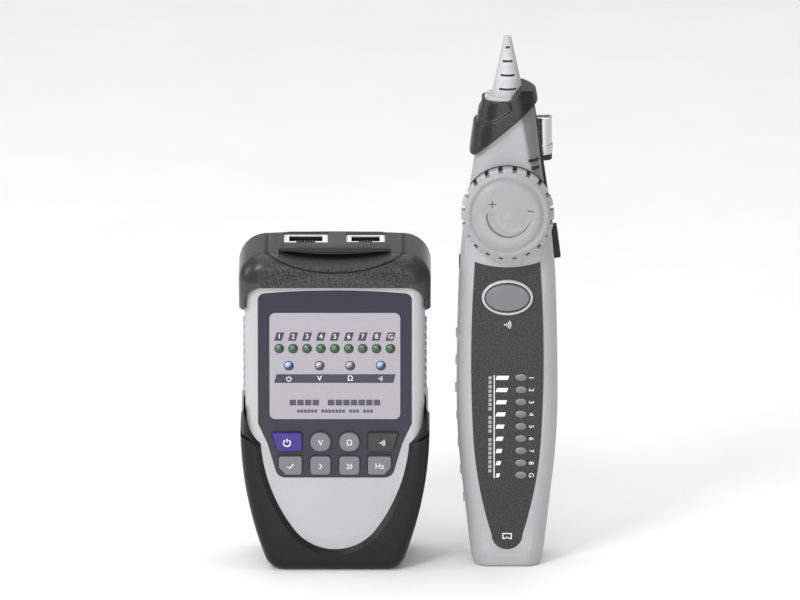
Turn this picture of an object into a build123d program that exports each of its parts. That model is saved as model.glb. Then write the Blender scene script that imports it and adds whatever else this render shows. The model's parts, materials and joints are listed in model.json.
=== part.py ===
"""Two-piece cable tracer: a pocket tester with sockets and a key field, and a slim pickup probe.

Both units stand upright side by side. +X runs to the right, +Z up, and the key field and the
knob face -Y. The origin is the centre of the tester's base. All lengths are millimetres.
"""
from build123d import *
from math import cos, radians, sin
import os

os.makedirs("parts", exist_ok=True)

# ---------------------------------------------------------------- tester: driving dimensions
TESTER_HEIGHT = 118.4
HEAD_HALF = 34.6            # half width over the head cap
WAIST_HALF = 34.1           # half width over the boot's horns
WAIST_Z = 52.0
BASE_HALF = 23.4            # half width at the base before its corners are rounded
SKIN = 2.0                  # how far the cap and the boot stand out from the shells
WALL = 2.0                  # shell wall
FRONT_Y = -17.5             # front face of the shells
BACK_Y = 16.5               # back face of the shells
PARTING_Y = 0.0
CAP_FRONT_Y = -19.2
CAP_BACK_Y = 18.0
BOOT_TOP = 62.6             # tips of the boot's horns
MOUTH_BEVEL = 1.6           # depth of the bevel round the boot's front opening
CAP_EDGE_Z = 106.2          # lower edge of the cap's front band
EAR_END_Z = 97.4            # lower end of the cap's side ears
PANEL_DEPTH = 0.9
PANEL_HALF = 27.7
PANEL_TOP = 104.9
PANEL_BOTTOM = 34.8
WINDOW_HALF = 23.6
WINDOW_BOTTOM = 56.7
WINDOW_TOP = 96.6
LED_RADIUS = 1.5
LINE_LED_PITCH = 5.0
LINE_LED_Z = 83.2
STATUS_LED_X = (-16.55, -5.55, 5.55, 16.55)
STATUS_LED_Z = 76.8
KEY_ROW_Z = (48.4, 39.6)    # upper and lower row of keys
KEY_HEIGHT = 6.8
KEY_INNER_X = 5.2
KEY_INNER_WIDTH = 7.3
KEY_OUTER_START = 11.9
KEY_OUTER_END = (22.9, 20.2)
KEY_TRAVEL = 1.0
KEY_GAP = 0.25
KEY_FACE_Y = -18.9
BOARD_FRONT_Y = -11.6
BOARD_THICKNESS = 1.6
RJ45_X = -10.5
RJ11_X = 11.0
RJ45_SIZE = (16.2, 13.6, 18.0)
RJ11_SIZE = (14.2, 12.6, 16.0)
SOCKET_Y = 5.0
SOCKET_TOP = 117.5
LIP_FRONT_Y = -8.6          # front of the lip round the sockets
TROUGH_Z = 115.5            # floor of the hollow at the lip's foot
TROUGH_HALF = 20.2
BATTERY = (26.5, 17.5, 46.5)    # 9 V block body
DOOR_HALF = 15.6
TESTER_DOOR_Z = (14.0, 65.0)

# ---------------------------------------------------------------- probe: driving dimensions
PROBE_X = 62.0              # distance between the two units' centre lines
PROBE_FRONT_Y = -14.0
NECK_TOP = 172.0
TIP_TOP = 195.0
TIP_BASE_RADIUS = 5.8
TIP_END_RADIUS = 1.45       # where the cone turns into its rounded nose
TIP_FOOT = 173.4            # top of the tip's flange
TIP_FLANGE_RADIUS = 8.2
TIP_CROWN = TIP_TOP - 1.4   # height at which the nose begins
KNOB_Z = 132.5
KNOB_RADIUS = 16.7
KNOB_TILT = 7.0             # degrees that the knob's face leans back
KNOB_NOTCHES = 20
SCAN_Z = 101.3
SCAN_HALF = (9.25, 6.6)     # half axes of the bezel ring round the scan key
SCAN_CAP_HALF = (8.0, 5.1)
PROBE_LED_X = 5.0
PROBE_LED_TOP = 71.2
PROBE_LED_PITCH = 4.57
LAMP_X = 12.9
LAMP_Y = 7.5
LAMP_RADIUS = 3.1
PROBE_DOOR_Z = (33.0, 86.0)
PROBE_DOOR_HALF = 13.9
PROBE_PARTING_Y = 1.0
PROBE_BOARD_Y = (-8.6, -7.0)
SCAN_TRAVEL = 1.0
SWITCH_PROUD = 2.6          # how far the lamp switch stands out of the flank
EAR_JACK_Z = 110.5
EAR_JACK_RADIUS = 1.8
TIP_SLOTS = ((191.0, 1.5), (186.1, 3.5), (181.1, 5.0), (176.2, 6.1))   # height and width

# height, half width, front depth, back depth and corner radius of the probe's sections
PROBE_SECTIONS = (
    (0.0, 11.9, 13.4, 11.5, 6.0),
    (14.0, 14.2, 14.1, 13.4, 6.6),
    (38.0, 16.9, 14.1, 14.4, 6.8),
    (64.0, 18.2, 14.1, 14.8, 7.0),
    (92.0, 17.8, 14.1, 14.4, 7.0),
    (116.0, 16.6, 13.6, 13.4, 6.4),
    (136.0, 13.9, 11.2, 12.0, 6.2),
    (154.0, 11.3, 9.2, 10.6, 6.2),
    (172.0, 8.4, 7.6, 7.8, 5.6),
)


# ---------------------------------------------------------------- helpers
def slab(outline, front, back):
    """Solid of an outline drawn in X and Z, from y = front to y = back."""
    return extrude(Plane.XZ.offset(-back) * outline, amount=back - front)


def block(x, y, z):
    """Box between pairs of limits along each axis."""
    middle = [(low + high) / 2 for low, high in (x, y, z)]
    return Pos(*middle) * Box(x[1] - x[0], y[1] - y[0], z[1] - z[0])


def rod(x, z, radius, front, back):
    """Cylinder along Y."""
    return slab(Pos(x, z) * Circle(radius), front, back)


def polygon(points):
    return make_face(Polyline(*points, close=True))


def round_front(solid, radius):
    return fillet(solid.edges().group_by(Axis.Y)[0], radius)


def round_back(solid, radius):
    return fillet(solid.edges().group_by(Axis.Y)[-1], radius)


def save(name, shape, shift=0.0):
    export_step(Pos(shift, 0, 0) * shape, f"parts/{name}.step")


def save_probe(name, shape):
    save(name, shape, PROBE_X)


# ---------------------------------------------------------------- tester: casing
def master_outline():
    """Front view of the tester over its cap and boot."""
    shoulder = TESTER_HEIGHT - 1.2
    head = (HEAD_HALF, shoulder)
    waist = (WAIST_HALF, WAIST_Z)
    foot = (BASE_HALF, 0)
    fall = (WAIST_HALF - HEAD_HALF, WAIST_Z - shoulder)
    right = Line(head, waist) + TangentArc(waist, foot, tangent=fall)
    left = mirror(right, about=Plane.YZ)
    crown = ThreePointArc((-HEAD_HALF, shoulder), (0, TESTER_HEIGHT), head)
    base = Line(foot, (-BASE_HALF, 0))
    face = make_face(right + left + crown + base)
    corners = face.vertices().group_by(Axis.Y)
    face = fillet(corners[-1], 10.0)
    return fillet(face.vertices().group_by(Axis.Y)[0], 7.0)


def casing_form(outline):
    """Closed outer form of the two shells together."""
    form = slab(offset(outline, amount=-SKIN), FRONT_Y, BACK_Y)
    return round_back(round_front(form, 4.5), 5.5)


def casing_cavity(outline):
    inner = offset(outline, amount=-SKIN - WALL)
    cavity = slab(inner, FRONT_Y + WALL, BACK_Y - WALL)
    return round_back(round_front(cavity, 2.5), 3.5)


def bezel_zone(clearance=0.0):
    """Space above a sagging arc, where the socket bezel sits in the head."""
    reach = 26.8 - clearance
    sag = 111.8 + clearance
    lip = TESTER_HEIGHT + 0.6
    arc = ThreePointArc((-reach, lip), (0, sag), (reach, lip))
    return slab(make_face(arc + Line((reach, lip), (-reach, lip))), CAP_FRONT_Y - 1, 14.0 - clearance)


def key_outlines():
    """Front view of the eight keys, name by name."""
    half = KEY_HEIGHT / 2
    upper, lower = KEY_ROW_Z
    start = KEY_OUTER_START
    wide, narrow = KEY_OUTER_END
    ramp = [(start, half), (wide, half), (wide - 2.2, -half), (start, -half)]
    ramp = fillet(polygon(ramp).vertices(), 0.7)
    tile = Pos((start + narrow) / 2, 0) * RectangleRounded(narrow - start, KEY_HEIGHT, 0.9)
    notch = polygon([(narrow + 1, -half - 1), (narrow + 1, 0.4), (narrow - 3.4, -half - 1)])
    tile = tile - notch
    button = RectangleRounded(KEY_INNER_WIDTH, KEY_HEIGHT, 3.2)
    square = RectangleRounded(KEY_INNER_WIDTH, KEY_HEIGHT, 1.4)
    left_ramp = mirror(ramp, about=Plane.YZ)
    left_tile = mirror(tile, about=Plane.YZ)
    return {
        "power_key": Pos(0, upper) * left_ramp,
        "volt_key": Pos(-KEY_INNER_X, upper) * button,
        "ohm_key": Pos(KEY_INNER_X, upper) * button,
        "scan_mode_key": Pos(0, upper) * ramp,
        "test_key": Pos(0, lower) * left_tile,
        "slow_key": Pos(-KEY_INNER_X, lower) * square,
        "fast_key": Pos(KEY_INNER_X, lower) * square,
        "hertz_key": Pos(0, lower) * tile,
    }


def panel_outline():
    low = [(PANEL_HALF, 55.2), (24.2, 47.4), (20.6, PANEL_BOTTOM)]
    shoulder = PANEL_TOP - 1.3
    side = Polyline((PANEL_HALF, shoulder), *low)
    crown = ThreePointArc((-PANEL_HALF, shoulder), (0, PANEL_TOP), (PANEL_HALF, shoulder))
    base = Line((low[-1][0], PANEL_BOTTOM), (-low[-1][0], PANEL_BOTTOM))
    face = make_face(side + mirror(side, about=Plane.YZ) + crown + base)
    face = fillet(face.vertices().group_by(Axis.Y)[-1], 2.6)
    return fillet(face.vertices().group_by(Axis.Y)[0], 3.6)


def window_outline():
    height = WINDOW_TOP - WINDOW_BOTTOM
    return Pos(0, (WINDOW_TOP + WINDOW_BOTTOM) / 2) * RectangleRounded(2 * WINDOW_HALF, height, 2.2)


def led_places():
    line = [(LINE_LED_PITCH * (i - 4), LINE_LED_Z) for i in range(9)]
    status = [(x, STATUS_LED_Z) for x in STATUS_LED_X]
    return line, status


def led_holes(radius):
    line, status = led_places()
    return [rod(x, z, radius, FRONT_Y - 3, FRONT_Y + 4) for x, z in line + status]


def key_holes(keys):
    return [slab(offset(keys[name], amount=KEY_GAP), FRONT_Y - 3, FRONT_Y + 4) for name in keys]


def screw_places():
    return [(-25.0, 92.0), (25.0, 92.0), (-19.6, 21.0), (19.6, 21.0)]


def jack_form(x, size):
    return block((x - size[0] / 2, x + size[0] / 2), (SOCKET_Y - size[1] / 2, SOCKET_Y + size[1] / 2),
                 (SOCKET_TOP - size[2], SOCKET_TOP + 3))


def side_ribs():
    """Small grip ribs along both flanks of the tester's front shell."""
    ribs = []
    for side in (-1, 1):
        for i in range(9):
            middle = Pos(side * (HEAD_HALF - SKIN - 0.15), -7.0, 66.0 + 3.1 * i)
            ribs.append(middle * fillet(Box(1.3, 7.0, 1.3).edges(), 0.5))
    return ribs


def front_shell(form, cavity, keys):
    front = form & block((-60, 60), (-40, PARTING_Y), (-5, 130))
    front = front + side_ribs()
    front = front - cavity
    for x, z in screw_places():
        front = front + rod(x, z, 3.2, FRONT_Y + WALL - 0.2, PARTING_Y)
        front = front - rod(x, z, 1.3, -10.0, PARTING_Y + 1)
    front = front - slab(panel_outline(), FRONT_Y - 5, FRONT_Y + PANEL_DEPTH)
    for hole in led_holes(LED_RADIUS + 0.15) + key_holes(keys):
        front = front - hole
    front = front - bezel_zone()
    return front - jack_form(RJ45_X, RJ45_SIZE) - jack_form(RJ11_X, RJ11_SIZE)


def door_outline(grow=0.0):
    low, high = TESTER_DOOR_Z
    return Pos(0, (low + high) / 2) * RectangleRounded(2 * (DOOR_HALF + grow), high - low + 2 * grow, 3.0)


def rear_shell(form, cavity):
    rear = form & block((-60, 60), (PARTING_Y, 40), (-5, 130))
    rear = rear - cavity
    low, high = TESTER_DOOR_Z
    tray = block((-15.0, 15.0), (-4.8, BACK_Y - 1), (low - 1.2, high + 1.2))
    rear = rear + tray
    rear = rear - block((-13.8, 13.8), (-3.6, BACK_Y + 1), (low + 0.2, high - 0.2))
    for x, z in screw_places():
        rear = rear + rod(x, z, 3.5, PARTING_Y, BACK_Y - 1)
        rear = rear - rod(x, z, 1.45, PARTING_Y - 1, BACK_Y)
        rear = rear - rod(x, z, 2.8, 12.2, BACK_Y + 1)
    rear = rear - slab(door_outline(0.25), BACK_Y - 2.4, BACK_Y + 1)
    rear = rear - bezel_zone()
    for i in range(5):
        rear = rear - slab(Pos(0, 80.0 + 2.6 * i) * SlotOverall(13.0, 1.1), BACK_Y - 5, BACK_Y + 1)
    return rear - jack_form(RJ45_X, RJ45_SIZE) - jack_form(RJ11_X, RJ11_SIZE)


def cap_outer_form(outline):
    cap = slab(outline, CAP_FRONT_Y, CAP_BACK_Y)
    return round_back(round_front(cap, 7.0), 6.0)


def head_cap(outline, form):
    cap = cap_outer_form(outline) & block((-60, 60), (-40, 40), (EAR_END_Z, 130))
    gap_height = CAP_EDGE_Z - EAR_END_Z + 4
    face = Pos(0, CAP_EDGE_Z - gap_height / 2) * Rectangle(2 * (HEAD_HALF - SKIN - 0.2), gap_height)
    face = fillet(face.vertices().group_by(Axis.Y)[-1], 6.5)
    cap = cap - slab(face, -40, 40)
    return cap - form - bezel_zone()


def trough_face(y, floor, bend):
    """Section of the hollow in the bezel's front: an arc that rises to both sides, open at the top."""
    reach = TROUGH_HALF
    rise = floor + bend * reach ** 2
    arc = ThreePointArc((-reach, rise), (0, floor), (reach, rise))
    lid = Polyline((reach, rise), (reach, 126), (-reach, 126), (-reach, rise))
    return Plane.XZ.offset(-y) * make_face(arc + lid)


def trough_form():
    """Space over the hollow, which falls towards the front and is flatter at the lip."""
    at_lip = trough_face(LIP_FRONT_Y + 1.4, TROUGH_Z, 0.0035)
    return loft([at_lip, trough_face(-20.0, TROUGH_Z - 2.9, 0.0100)])


def socket_bezel(outline):
    """Insert in the head with a raised lip round the sockets and a hollow in front of it."""
    bezel = cap_outer_form(outline) & bezel_zone(0.15)
    lip = Pos(0, 2.6) * RectangleRounded(41.0, 22.2, 5.0)
    lip = extrude(Pos(0, 0, 116.2) * lip, amount=2.2)
    lip = fillet(lip.edges().group_by(Axis.Z)[-1], 1.4)
    bezel = bezel + (lip & block((-40, 40), (LIP_FRONT_Y, 14.0 - 0.15), (110, 130)))
    trough = trough_form()
    bezel = bezel - (trough & block((-40, 40), (-40, LIP_FRONT_Y), (100, 130)))
    bezel = bezel - (trough & block((-40, 40), (-40, LIP_FRONT_Y + 1.4), (100, 116.9)))
    return bezel - jack_form(RJ45_X, RJ45_SIZE) - jack_form(RJ11_X, RJ11_SIZE)


def modular_jack(x, size, mouth):
    """Socket open at the top, with its latch slot towards the front."""
    jack = block((x - size[0] / 2, x + size[0] / 2), (SOCKET_Y - size[1] / 2, SOCKET_Y + size[1] / 2),
                 (SOCKET_TOP - size[2], SOCKET_TOP))
    jack = fillet(jack.edges().group_by(Axis.Z)[-1], 0.4)
    width, depth, reach = mouth
    back = SOCKET_Y + size[1] / 2 - 1.4
    front = back - depth
    latch = width / 2 - 2.6
    levels = (SOCKET_TOP - reach, SOCKET_TOP + 1)
    jack = jack - block((x - width / 2, x + width / 2), (front, back), levels)
    return jack - block((x - latch, x + latch), (front - 2.2, front + 0.1), levels)


def boot(outline, form):
    main = round_back(round_front(slab(outline, CAP_FRONT_Y, CAP_BACK_Y), 4.2), 4.2)
    step = polygon([(-40, -2), (40, -2), (40, 52.2), (26, 47.2), (-26, 47.2), (-40, 52.2)])
    main = main & slab(step, -40, 40)
    slim = slab(offset(outline, amount=-0.55), CAP_FRONT_Y + 0.8, CAP_BACK_Y - 0.6)
    slim = round_back(round_front(slim, 4.2), 4.2)
    flank = HEAD_HALF + 4
    crest = polygon([(0, 40), (flank, 40), (flank, 43.6), (HEAD_HALF - SKIN - 0.4, BOOT_TOP), (0, BOOT_TOP)])
    crest = crest + mirror(crest, about=Plane.YZ)
    rubber = main + (slim & slab(crest, -40, 40))
    rubber = rubber - form
    mouth = boot_mouth()
    lead_in = Plane.XZ.offset(-CAP_FRONT_Y - MOUTH_BEVEL) * mouth
    rubber = rubber - slab(mouth, -40, -3.0) - extrude(lead_in, amount=MOUTH_BEVEL + 0.4, taper=-48)
    back = [(-24.5, 70), (24.5, 70), (24.5, 22), (15, 10.5), (-15, 10.5), (-24.5, 22)]
    back = fillet(polygon(back).vertices().group_by(Axis.Y)[0], 6.0)
    return rubber - slab(back, 3.0, 40)


def boot_mouth():
    """U-shaped opening in the boot's front, with a shoulder on each side."""
    top = (HEAD_HALF - SKIN + 0.1, 63.5)
    shoulder = (26.7, 47.6)
    cheek = (14.6, 15.2)
    right = ThreePointArc(top, (31.3, 53.8), shoulder) + TangentArc(cheek, shoulder, tangent=(10.9, 14.6))
    keel = ThreePointArc((-cheek[0], cheek[1]), (0, 7.9), cheek)
    lid = Line(top, (-top[0], top[1]))
    return make_face(right + mirror(right, about=Plane.YZ) + keel + lid)


def face_panel(keys):
    panel = slab(offset(panel_outline(), amount=-0.15), FRONT_Y + 0.1, FRONT_Y + PANEL_DEPTH)
    panel = panel - slab(window_outline(), FRONT_Y - 1, FRONT_Y + 0.5)
    for hole in led_holes(LED_RADIUS + 0.15) + key_holes(keys):
        panel = panel - hole
    return panel


def window_plate():
    plate = slab(offset(window_outline(), amount=-0.1), FRONT_Y - 0.15, FRONT_Y + 0.5)
    for hole in led_holes(LED_RADIUS + 0.15):
        plate = plate - hole
    return plate


def led(x, z):
    """Round lamp with its domed end proud of the window, seated on the board."""
    body = rod(x, z, LED_RADIUS, FRONT_Y - 0.1, BOARD_FRONT_Y)
    dome = Pos(x, FRONT_Y - 0.1, z) * Sphere(LED_RADIUS)
    dome = dome & block((x - 2, x + 2), (FRONT_Y - 1.1, FRONT_Y - 0.1), (z - 2, z + 2))
    return body + dome + rod(x, z, LED_RADIUS + 0.3, BOARD_FRONT_Y - 1.0, BOARD_FRONT_Y)


def key_cap(outline):
    """Domed key with a retaining flange behind the shell wall and a plunger."""
    cap = slab(outline, KEY_FACE_Y, FRONT_Y + WALL + 0.15)
    cap = fillet(cap.edges().group_by(Axis.Y)[0], 0.45)
    flange = slab(offset(outline, amount=0.7), FRONT_Y + WALL + 0.1, FRONT_Y + WALL + 0.9)
    middle = outline.bounding_box().center()
    plunger = rod(middle.X, middle.Y, 1.8, FRONT_Y + WALL + 0.8, -12.5 - KEY_TRAVEL - 0.1)
    return cap + flange + plunger


def keypad_mat(keys):
    mat = slab(Pos(0, 43.9) * RectangleRounded(47.0, 17.0, 2.0), -12.4, BOARD_FRONT_Y)
    for name in keys:
        middle = keys[name].bounding_box().center()
        mat = mat - rod(middle.X, middle.Y, 1.0, -12.1, BOARD_FRONT_Y + 1)
    return mat


def tester_board():
    """Circuit board with its chips."""
    back = BOARD_FRONT_Y + BOARD_THICKNESS
    board = slab(Pos(0, 66.0) * RectangleRounded(54.0, 66.0, 2.0), BOARD_FRONT_Y, back)
    for x, z in screw_places():
        board = board - rod(x, z, 3.5, -20, 0)
    chips = [((-9, 3), (76, 88)), ((-20, -12), (70, 78)), ((8, 18), (68, 72))]
    for x, z in chips:
        board = board + block(x, (back, back + 1.4), z)
    return board


def battery(low, x=0.0, back=14.0):
    """9 V block with its two snap terminals at the top."""
    width, depth, height = BATTERY
    cell = block((x - width / 2, x + width / 2), (back - depth, back), (low, low + height))
    cell = fillet(cell.edges().filter_by(Axis.Z), 2.0)
    middle = back - depth / 2
    for side in (-1, 1):
        cell = cell + Pos(x + side * 6.35, middle, low + height + 0.9) * Cylinder(2.6, 1.8)
    return cell


def battery_snap(low, back=14.0):
    """Connector strip that clips on the two terminals."""
    height = BATTERY[2]
    middle = back - BATTERY[1] / 2
    strip = Pos(0, middle, low + height + 1.9) * Box(25.0, 11.0, 3.4)
    strip = fillet(strip.edges().filter_by(Axis.Z), 3.0)
    for side in (-1, 1):
        strip = strip - Pos(side * 6.35, middle, low + height + 0.9) * Cylinder(2.65, 2.0)
    return strip


def battery_door():
    door = slab(door_outline(), BACK_Y - 2.2, BACK_Y)
    door = fillet(door.edges().group_by(Axis.Y)[-1], 0.5)
    top = TESTER_DOOR_Z[1]
    grip = Pos(0, BACK_Y + 0.6, top - 8) * Cylinder(7.0, 2.4, rotation=(90, 0, 0))
    door = door - grip
    for i in range(4):
        level = top - 11.4 + 2 * i
        door = door + block((-4.0, 4.0), (BACK_Y - 0.9, BACK_Y - 0.1), (level, level + 0.8))
    return door


def case_screw(x, z):
    head = rod(x, z, 2.5, 12.3, 14.0) - block((x - 1.9, x + 1.9), (13.2, 15), (z - 0.35, z + 0.35))
    head = head - block((x - 0.35, x + 0.35), (13.2, 15), (z - 1.9, z + 1.9))
    return head + rod(x, z, 1.3, -9.0, 12.3)


def buzzer():
    return rod(17.0, 84.0, 6.0, BOARD_FRONT_Y + BOARD_THICKNESS, -4.5) - rod(17.0, 84.0, 1.2, -6.0, -4.0)


def make_tester():
    """Writes every piece of the tester."""
    outline = master_outline()
    form = casing_form(outline)
    cavity = casing_cavity(outline)
    keys = key_outlines()
    save("tester_front_shell", front_shell(form, cavity, keys))
    save("tester_rear_shell", rear_shell(form, cavity))
    save("tester_head_cap", head_cap(outline, form))
    save("socket_bezel", socket_bezel(outline))
    save("rj45_socket", modular_jack(RJ45_X, RJ45_SIZE, (12.0, 7.6, 13.0)))
    save("rj11_socket", modular_jack(RJ11_X, RJ11_SIZE, (10.2, 7.2, 12.0)))
    save("tester_boot", boot(outline, form))
    save("tester_face_panel", face_panel(keys))
    save("display_window", window_plate())
    line, status = led_places()
    save("line_leds", Compound([led(x, z) for x, z in line]))
    save("status_leds", Compound([led(x, z) for x, z in status]))
    for name in keys:
        save(name, key_cap(keys[name]))
    save("keypad_mat", keypad_mat(keys))
    save("tester_circuit_board", tester_board())
    save("tester_battery", battery(TESTER_DOOR_Z[0] + 0.5))
    save("tester_battery_snap", battery_snap(TESTER_DOOR_Z[0] + 0.5))
    save("tester_battery_door", battery_door())
    save("tester_buzzer", buzzer())
    save("tester_screws", Compound([case_screw(x, z) for x, z in screw_places()]))


# ---------------------------------------------------------------- probe
def loft_sections(sections, inset=0.0):
    """Loft through rounded rectangles given as height, half width, front, back and corner."""
    faces = []
    for z, half, front, back, radius in sections:
        level = z
        if z == sections[0][0]:
            level = z + inset
        if z == sections[-1][0]:
            level = z - inset
        corner = max(radius - inset, 1.2)
        outline = RectangleRounded(2 * (half - inset), front + back - 2 * inset, corner)
        faces.append(Pos(0, (back - front) / 2, level) * outline)
    return loft(faces)


def probe_half(z):
    """Half width of the probe at a height, between the two nearest sections."""
    for low, high in zip(PROBE_SECTIONS, PROBE_SECTIONS[1:]):
        if low[0] <= z <= high[0]:
            share = (z - low[0]) / (high[0] - low[0])
            return low[1] + share * (high[1] - low[1])
    raise ValueError(z)


def knob_plane(height=0.0):
    """Plane square to the knob's axis, with its normal out of the knob's face."""
    normal = Vector(0, -cos(radians(KNOB_TILT)), sin(radians(KNOB_TILT)))
    seat = Vector(0, -12.1, KNOB_Z)
    return Plane(origin=seat + normal * height, x_dir=(1, 0, 0), z_dir=normal)


def knob_disc(radius, low, high):
    return extrude(knob_plane(low) * Circle(radius), amount=high - low)


def label_outline():
    """Front view of the dark label, from the knob's edge down to a rounded point."""
    top = (11.7, 114.4)
    hip = (12.3, 50.0)
    cheek = (5.6, 12.4)
    flank = ThreePointArc(top, (13.0, 82.0), hip)
    taper = TangentArc(hip, cheek, tangent=flank % 1)
    right = flank + taper
    crown = ThreePointArc((-top[0], top[1]), (0, 112.4), top)
    point = ThreePointArc((-cheek[0], cheek[1]), (0, 6.8), cheek)
    return make_face(right + mirror(right, about=Plane.YZ) + crown + point)


def scan_ellipse(half, grow=0.0):
    return Pos(0, SCAN_Z) * Ellipse(half[0] + grow, half[1] + grow)


def probe_led_heights():
    return [PROBE_LED_TOP - PROBE_LED_PITCH * i for i in range(9)]


def probe_led_outline(z, grow=0.0):
    return Pos(PROBE_LED_X, z) * Ellipse(2.1 + grow, 1.35 + grow)


def probe_screw_places():
    return [(0.0, 112.2), (-8.6, 24.0), (8.6, 24.0)]


def lamp_form():
    return Pos(LAMP_X, LAMP_Y, 155.0) * Cylinder(LAMP_RADIUS + 0.35, 16.4)


def switch_plane(height=0.0):
    """Plane on the right flank beside the knob, with its normal outwards."""
    lean = radians(7.5)
    normal = Vector(cos(lean), 0, sin(lean))
    return Plane(origin=Vector(15.9, -1.5, 118.9) + normal * height, x_dir=(0, 1, 0), z_dir=normal)


def switch_prism(grow, low, high):
    outline = RectangleRounded(4.8 + 2 * grow, 12.4 + 2 * grow, 1.2 + grow)
    return extrude(switch_plane(low) * outline, amount=high - low)


def end_jack_form():
    return block((-8.0, 8.0), (-6.4, 7.0), (-1.0, 17.6))


def ear_jack_barrel():
    inner, outer = -4.6, -17.4
    middle = Pos((inner + outer) / 2, PROBE_PARTING_Y, EAR_JACK_Z)
    return middle * Cylinder(2.6, inner - outer, rotation=(0, 90, 0))


def shared_cuts():
    """Everything that passes through the probe's two shells."""
    cuts = [end_jack_form(), lamp_form(), ear_jack_barrel(), switch_prism(0.2, -7, 5)]
    cuts.append(Pos(0, 0, 170) * Cylinder(3.1, 12))
    return cuts


def probe_front_shell(form, cavity):
    front = form & block((-40, 40), (-40, PROBE_PARTING_Y), (-5, 200))
    for i in range(7):
        z = 23.2 + 10.25 * i
        rib = Pos(-probe_half(z) + 0.3, -1.6, z) * Box(1.8, 3.6, 3.0)
        front = front + fillet(rib.edges(), 0.5)
    front = front - cavity
    front = front - slab(label_outline(), -20, PROBE_FRONT_Y + 0.6)
    front = front - slab(scan_ellipse(SCAN_HALF, -0.9), -20, -8)
    for z in probe_led_heights():
        front = front - slab(probe_led_outline(z, 0.1), -20, -8)
    front = front - knob_disc(KNOB_RADIUS + 0.4, -0.1, 12) - knob_disc(4.2, -6, 2)
    for x, z in probe_screw_places():
        front = front + rod(x, z, 2.8, PROBE_FRONT_Y + WALL - 0.3, PROBE_PARTING_Y)
        front = front - rod(x, z, 1.1, -8, PROBE_PARTING_Y + 1)
    for cut in shared_cuts():
        front = front - cut
    return front


def probe_door_outline(grow=0.0):
    low, high = PROBE_DOOR_Z
    height = high - low + 2 * grow
    return Pos(0, (low + high) / 2) * RectangleRounded(2 * (PROBE_DOOR_HALF + grow), height, 3.0)


def probe_rear_shell(form, cavity):
    rear = form & block((-40, 40), (PROBE_PARTING_Y, 40), (-5, 200))
    rear = rear - cavity
    for x, z in probe_screw_places():
        rear = rear + (rod(x, z, 3.2, PROBE_PARTING_Y, 12.0) & form)
        rear = rear - rod(x, z, 1.25, 0, 20) - rod(x, z, 2.5, 10.4, 20)
    rear = rear - slab(probe_door_outline(0.25), 6, 20)
    for i in range(5):
        rear = rear - slab(Pos(0, 91.8 + 2.2 * i) * SlotOverall(9.0, 1.0), 9, 20)
    for cut in shared_cuts():
        rear = rear - cut
    return rear


def probe_battery_door(form, cavity):
    door = (form - cavity) & slab(probe_door_outline(), 6, 20)
    grip = Pos(0, 15.4, PROBE_DOOR_Z[1] - 8) * Cylinder(6.0, 2.6, rotation=(90, 0, 0))
    return door - grip


def tip_slope():
    """How much the cone narrows for each millimetre of height."""
    return (TIP_BASE_RADIUS - TIP_END_RADIUS) / (TIP_CROWN - TIP_FOOT)


def probe_tip():
    """Hollow cone on a flange, with slots across its front."""
    slope = tip_slope()
    crown = TIP_CROWN
    outer = Polyline((0, NECK_TOP), (TIP_FLANGE_RADIUS, NECK_TOP), (TIP_FLANGE_RADIUS, TIP_FOOT),
                     (TIP_BASE_RADIUS, TIP_FOOT), (TIP_END_RADIUS, crown))
    nose = ThreePointArc((TIP_END_RADIUS, crown), (1.1, crown + 0.95), (0.25, TIP_TOP))
    profile = make_face(outer + nose + Polyline((0.25, TIP_TOP), (0, TIP_TOP), (0, NECK_TOP)))
    cone = revolve(Plane.XZ * profile, axis=Axis.Z)
    bore = make_face(Polyline((0, NECK_TOP - 1), (4.3, NECK_TOP - 1), (4.3, 173.6),
                              (4.3 - slope * 18.0, 191.6), (0, 191.6), close=True))
    cone = cone - revolve(Plane.XZ * bore, axis=Axis.Z)
    for z, width in TIP_SLOTS:
        cone = cone - block((-width / 2, width / 2), (-12, 0), (z - 0.45, z + 0.45))
    return cone


def pickup_antenna():
    """Coil former in the neck with a tapered core that fills the tip."""
    slope = tip_slope()
    profile = Polyline((0, 150), (3.0, 150), (3.0, 172.4), (4.15, 172.4), (4.15, 173.6),
                       (4.15 - slope * 17.6, 191.2), (0, 191.2), close=True)
    core = revolve(Plane.XZ * make_face(profile), axis=Axis.Z)
    for i in range(3):
        core = core + Pos(0, 0, 153 + 5 * i) * Cylinder(4.2, 3.0)
    return core


def collar_form(swell):
    """Envelope of the rubber collar round the neck and the foot of the tip."""
    sections = (
        (148.0, 12.4, 10.4, 11.4, 6.6),
        (160.0, 10.6, 9.0, 9.9, 6.4),
        (172.0, 8.7, 7.9, 8.1, 6.2),
        (182.0, 6.0, 5.8, 5.8, 5.0),
    )
    return loft_sections(sections, -swell)


def probe_collar(form):
    """Sleeve round the neck with a thicker band that winds down from right to left."""
    sleeve = polygon([(-16, 160), (-9.3, 169.8), (-9.3, 172.2), (6, 173.4), (12, 173.5), (-10, 156)])
    band = polygon([(4.6, 177.0), (11.4, 175.2), (11.6, 172.2), (-12.2, 152.4), (-16, 152.4),
                    (-16, 162.4), (-4.0, 165.8), (1.6, 169.6), (0.4, 172.8)])
    band = fillet(band.vertices().group_by(Axis.Y)[-1], 1.2)
    collar = (collar_form(1.0) & slab(sleeve, -30, 30)) + (collar_form(2.1) & slab(band, -30, 30))
    collar = collar - form
    tip_edge = Polyline((0, NECK_TOP - 2), (TIP_FLANGE_RADIUS, NECK_TOP - 2), (TIP_FLANGE_RADIUS, TIP_FOOT),
                        (TIP_BASE_RADIUS, TIP_FOOT), (3.9, 184), (0, 184), close=True)
    tip_space = revolve(Plane.XZ * make_face(tip_edge), axis=Axis.Z)
    collar = collar - tip_space - lamp_form()
    return max(collar.solids(), key=lambda piece: piece.volume)


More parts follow.
